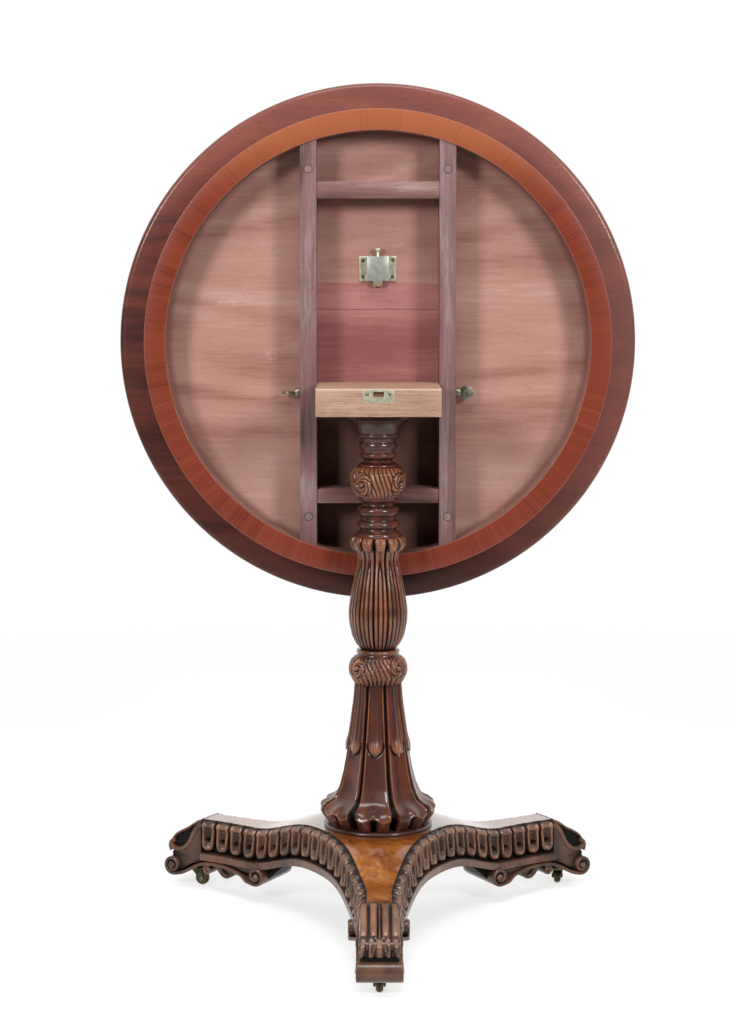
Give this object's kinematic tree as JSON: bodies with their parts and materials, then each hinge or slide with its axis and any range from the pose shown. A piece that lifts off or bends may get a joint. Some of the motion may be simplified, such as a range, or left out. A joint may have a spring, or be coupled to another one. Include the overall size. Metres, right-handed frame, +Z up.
{
  "type": "tilt top pedestal table",
  "caption": "Round tilt top pedestal table with a carved baluster column, a three armed platform, scroll feet and casters, top tilted upright.",
  "frame": {"origin": "the point of the floor on the column's axis", "axes": "+Z up along the column; -Y towards the front foot, the side the underside of the tilted top faces; +X to the right seen from the front"},
  "size_m": [0.6999, 0.519, 1.1134],
  "materials": {
    "top_mahogany": "polished",
    "ring_mahogany": "satin",
    "crossband_veneer": "satin",
    "bearer_wood": "unfinished",
    "block_oak": "unfinished",
    "carved_rosewood": "polished",
    "dark_rosewood": "polished",
    "burr_veneer": "gloss",
    "aged_brass": "satin",
    "dark_brass": "satin",
    "steel": "satin"
  },
  "bodies": {
    "base": {"strike_plate": "aged_brass", "strike_screws": "aged_brass", "block": "block_oak", "column_capital": "dark_rosewood", "column_upper": "carved_rosewood", "column_vase": "carved_rosewood", "column_lower_knop": "carved_rosewood", "column_lotus": "carved_rosewood", "column_base_ring": "dark_rosewood", "tenon_wedge": "block_oak", "platform": "carved_rosewood", "platform_veneer": "burr_veneer", "carved_band_right": "carved_rosewood", "carved_band_left": "carved_rosewood", "carved_band_back": "carved_rosewood", "foot_front": "carved_rosewood", "foot_right": "carved_rosewood", "foot_left": "carved_rosewood", "foot_dowels": "block_oak", "foot_screws": "steel", "caster_screws": "aged_brass", "caster_plate_front": "dark_brass", "caster_plate_right": "dark_brass", "caster_plate_left": "dark_brass"},
    "top": {"table_top": "top_mahogany", "frieze_ring": "ring_mahogany", "frieze_crossband": "crossband_veneer", "bearer_left": "bearer_wood", "bearer_right": "bearer_wood", "cross_rail_upper": "bearer_wood", "cross_rail_lower": "bearer_wood", "bearer_plugs": "bearer_wood", "bearer_screws": "steel", "catch_plate": "aged_brass", "catch_case": "aged_brass", "catch_spring": "steel", "catch_screws": "aged_brass"},
    "bolt": {"catch_bolt": "aged_brass", "catch_knob": "aged_brass"},
    "pivot_left": {"pivot_screw_left": "dark_brass"},
    "pivot_right": {"pivot_screw_right": "dark_brass"},
    "swivel_front": {"caster_horn_front": "dark_brass", "caster_axle_front": "steel"},
    "wheel_front": {"caster_wheel_front": "dark_brass"},
    "swivel_right": {"caster_horn_right": "dark_brass", "caster_axle_right": "steel"},
    "wheel_right": {"caster_wheel_right": "dark_brass"},
    "swivel_left": {"caster_horn_left": "dark_brass", "caster_axle_left": "steel"},
    "wheel_left": {"caster_wheel_left": "dark_brass"}
  },
  "joints": [
    {"name": "top_tilt", "type": "hinge", "parent": "base", "child": "top", "pos_m": [0, 0.06745, 0.696], "axis": [1, 0, 0], "range_deg": [0, 90]},
    {"name": "bolt_slide", "type": "slide", "parent": "top", "child": "bolt", "axis": [0, 0, 1], "range_m": [0, 0.008], "stiffness_N_per_m": 300, "springref_m": -0.004, "deforming": ["catch_spring"]},
    {"name": "pivot_left_turn", "type": "hinge", "parent": "base", "child": "pivot_left", "pos_m": [-0.0961, 0.06745, 0.696], "axis": [1, 0, 0], "range_deg": [-90, 90]},
    {"name": "pivot_right_turn", "type": "hinge", "parent": "base", "child": "pivot_right", "pos_m": [0.0961, 0.06745, 0.696], "axis": [1, 0, 0], "range_deg": [-90, 90]},
    {"name": "caster_front_swivel", "type": "hinge", "parent": "base", "child": "swivel_front", "pos_m": [0, -0.292, 0.024], "axis": [0, 0, 1], "continuous": true},
    {"name": "caster_front_roll", "type": "hinge", "parent": "swivel_front", "child": "wheel_front", "pos_m": [0, -0.3, 0.01], "axis": [1, 0, 0], "continuous": true},
    {"name": "caster_right_swivel", "type": "hinge", "parent": "base", "child": "swivel_right", "pos_m": [0.25288, 0.146, 0.024], "axis": [0, 0, 1], "continuous": true},
    {"name": "caster_right_roll", "type": "hinge", "parent": "swivel_right", "child": "wheel_right", "pos_m": [0.25288, 0.154, 0.01], "axis": [-1, 0, 0], "continuous": true},
    {"name": "caster_left_swivel", "type": "hinge", "parent": "base", "child": "swivel_left", "pos_m": [-0.25288, 0.146, 0.024], "axis": [0, 0, 1], "continuous": true},
    {"name": "caster_left_roll", "type": "hinge", "parent": "swivel_left", "child": "wheel_left", "pos_m": [-0.245, 0.14461, 0.01], "axis": [0.1736, 0.9848, 0], "continuous": true}
  ]
}
